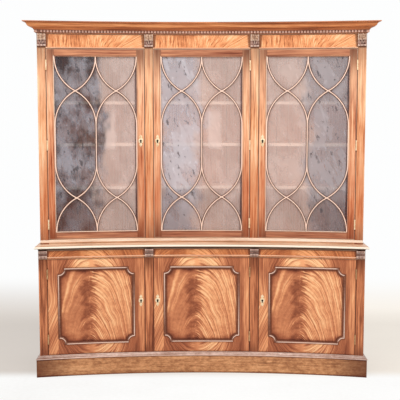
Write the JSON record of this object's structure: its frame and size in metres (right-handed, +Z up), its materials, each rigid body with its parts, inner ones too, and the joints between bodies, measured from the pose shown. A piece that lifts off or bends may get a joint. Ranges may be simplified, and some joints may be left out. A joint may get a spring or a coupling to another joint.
{
  "type": "library bookcase",
  "caption": "Concave mahogany library bookcase in two stages: glazed doors with curved tracery above panelled cupboard doors, dentil cornice and plinth.",
  "frame": {"origin": "on the floor, under the middle of the bounding box", "axes": "+Z up, the concave front faces -Y, +X to the right of someone facing the front"},
  "size_m": [2.064, 0.4872, 2.1],
  "materials": {
    "mahogany": "french polished",
    "flame_veneer": "french polished",
    "moulding": "french polished",
    "interior": "satin",
    "brass": "polished",
    "glass": "clear"
  },
  "bodies": {
    "carcase": {"plinth": "mahogany", "plinth_moulding": "moulding", "base_side_left": "mahogany", "base_side_right": "mahogany", "base_partition_left": "mahogany", "base_partition_right": "mahogany", "base_floor": "mahogany", "base_back": "interior", "base_frieze": "flame_veneer", "table_top": "mahogany", "base_shelf_left": "interior", "base_shelf_middle": "interior", "base_shelf_right": "interior", "upper_foot_moulding": "moulding", "upper_side_left": "mahogany", "upper_side_right": "mahogany", "upper_partition_left": "mahogany", "upper_partition_right": "mahogany", "upper_floor": "mahogany", "upper_back": "interior", "upper_frieze": "flame_veneer", "dust_board": "interior", "cornice": "mahogany", "dentil_course": "moulding", "upper_shelf_left_1": "interior", "upper_shelf_left_2": "interior", "upper_shelf_left_3": "interior", "upper_shelf_middle_1": "interior", "upper_shelf_middle_2": "interior", "upper_shelf_middle_3": "interior", "upper_shelf_right_1": "interior", "upper_shelf_right_2": "interior", "upper_shelf_right_3": "interior"},
    "upper_left_door": {"glass_door_left_frame": "mahogany", "glass_door_left_tracery": "moulding", "glass_door_left_glass": "glass", "glass_door_left_lock": "brass"},
    "upper_middle_door": {"glass_door_middle_frame": "mahogany", "glass_door_middle_tracery": "moulding", "glass_door_middle_glass": "glass", "glass_door_middle_lock": "brass"},
    "upper_right_door": {"glass_door_right_frame": "mahogany", "glass_door_right_tracery": "moulding", "glass_door_right_glass": "glass", "glass_door_right_lock": "brass"},
    "lower_left_door": {"panel_door_left_leaf": "flame_veneer", "panel_door_left_moulding": "moulding", "panel_door_left_lock": "brass"},
    "lower_middle_door": {"panel_door_middle_leaf": "flame_veneer", "panel_door_middle_moulding": "moulding", "panel_door_middle_lock": "brass"},
    "lower_right_door": {"panel_door_right_leaf": "flame_veneer", "panel_door_right_moulding": "moulding", "panel_door_right_lock": "brass"},
    "upper_left_bolt": {"glass_door_left_bolt": "brass"},
    "upper_middle_bolt": {"glass_door_middle_bolt": "brass"},
    "upper_right_bolt": {"glass_door_right_bolt": "brass"},
    "lower_left_bolt": {"panel_door_left_bolt": "brass"},
    "lower_middle_bolt": {"panel_door_middle_bolt": "brass"},
    "lower_right_bolt": {"panel_door_right_bolt": "brass"}
  },
  "joints": [
    {"name": "upper_left_hinge", "type": "hinge", "parent": "carcase", "child": "upper_left_door", "pos_m": [-0.91376, -0.12718, 0], "axis": [0, 0, -1], "range_deg": [0, 110]},
    {"name": "upper_middle_hinge", "type": "hinge", "parent": "carcase", "child": "upper_middle_door", "pos_m": [0.28848, -0.04764, 0], "axis": [0, 0, 1], "range_deg": [0, 110]},
    {"name": "upper_right_hinge", "type": "hinge", "parent": "carcase", "child": "upper_right_door", "pos_m": [0.91376, -0.12718, 0], "axis": [0, 0, 1], "range_deg": [0, 110]},
    {"name": "lower_left_hinge", "type": "hinge", "parent": "carcase", "child": "lower_left_door", "pos_m": [-0.91379, -0.20872, 0], "axis": [0, 0, -1], "range_deg": [0, 110]},
    {"name": "lower_middle_hinge", "type": "hinge", "parent": "carcase", "child": "lower_middle_door", "pos_m": [0.28855, -0.12779, 0], "axis": [0, 0, 1], "range_deg": [0, 110]},
    {"name": "lower_right_hinge", "type": "hinge", "parent": "carcase", "child": "lower_right_door", "pos_m": [0.91379, -0.20872, 0], "axis": [0, 0, 1], "range_deg": [0, 110]},
    {"name": "upper_left_bolt_slide", "type": "slide", "parent": "upper_left_door", "child": "upper_left_bolt", "axis": [0.9971, 0.0765, 0], "range_m": [0, 0.009]},
    {"name": "upper_middle_bolt_slide", "type": "slide", "parent": "upper_middle_door", "child": "upper_middle_bolt", "axis": [-0.9985, -0.0556, 0], "range_m": [0, 0.009]},
    {"name": "upper_right_bolt_slide", "type": "slide", "parent": "upper_right_door", "child": "upper_right_bolt", "axis": [-0.9971, 0.0765, 0], "range_m": [0, 0.009]},
    {"name": "lower_left_bolt_slide", "type": "slide", "parent": "lower_left_door", "child": "lower_left_bolt", "axis": [0.997, 0.0778, 0], "range_m": [0, 0.009]},
    {"name": "lower_middle_bolt_slide", "type": "slide", "parent": "lower_middle_door", "child": "lower_middle_bolt", "axis": [-0.9984, -0.0565, 0], "range_m": [0, 0.009]},
    {"name": "lower_right_bolt_slide", "type": "slide", "parent": "lower_right_door", "child": "lower_right_bolt", "axis": [-0.997, 0.0778, 0], "range_m": [0, 0.009]}
  ]
}
